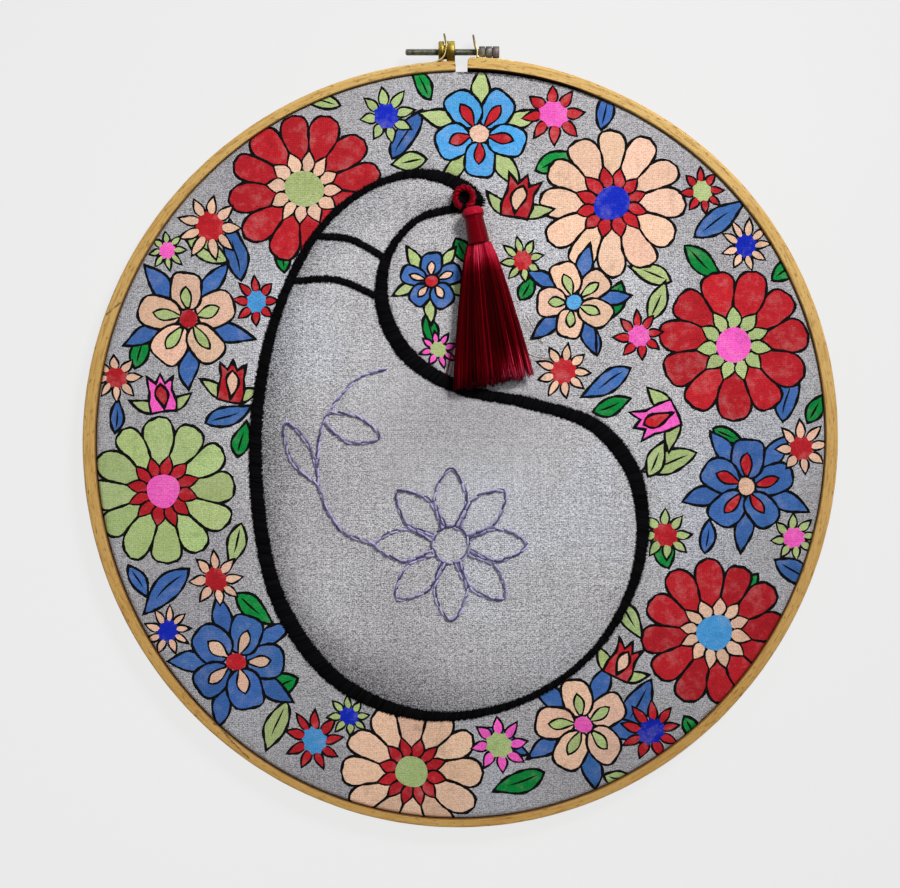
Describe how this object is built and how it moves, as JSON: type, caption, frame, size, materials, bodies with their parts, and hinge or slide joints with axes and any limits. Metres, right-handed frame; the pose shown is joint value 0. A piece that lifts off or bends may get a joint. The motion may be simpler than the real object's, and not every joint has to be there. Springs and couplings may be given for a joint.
{
  "type": "embroidery hoop with stretched embroidered cloth",
  "caption": "Round bamboo embroidery hoop holding a painted cloth with a raised stitched outline, a back-stitched flower and a sewn tassel; screw fitting at the top.",
  "frame": {"origin": "centre of the base, on the surface that the hoop lies on, under the middle of its bounding box", "axes": "+Z out of the cloth's painted face, +Y towards the hoop's screw fitting, +X to the right when the face is looked at with the screw at the top"},
  "size_m": [0.3094, 0.3258, 0.019],
  "materials": {
    "outer_bamboo": "sanded bamboo, satin",
    "inner_bamboo": "sanded bamboo, satin",
    "painted_cloth": "plain-weave cotton, painted on the face",
    "brass_fitting": "stamped and turned, slightly tarnished",
    "steel_screw": "zinc plated, worn",
    "black_thread": "satin-stitched thread",
    "lavender_thread": "back-stitched thread",
    "tassel_thread": "glossy viscose thread"
  },
  "bodies": {
    "root": {"outer_hoop": "outer_bamboo", "inner_hoop": "inner_bamboo", "cloth": "painted_cloth", "bracket_left": "brass_fitting", "bracket_right": "brass_fitting", "screw": "steel_screw", "nut": "brass_fitting", "satin_outline": "black_thread", "stitched_flower": "lavender_thread", "tassel": "tassel_thread"}
  },
  "joints": []
}
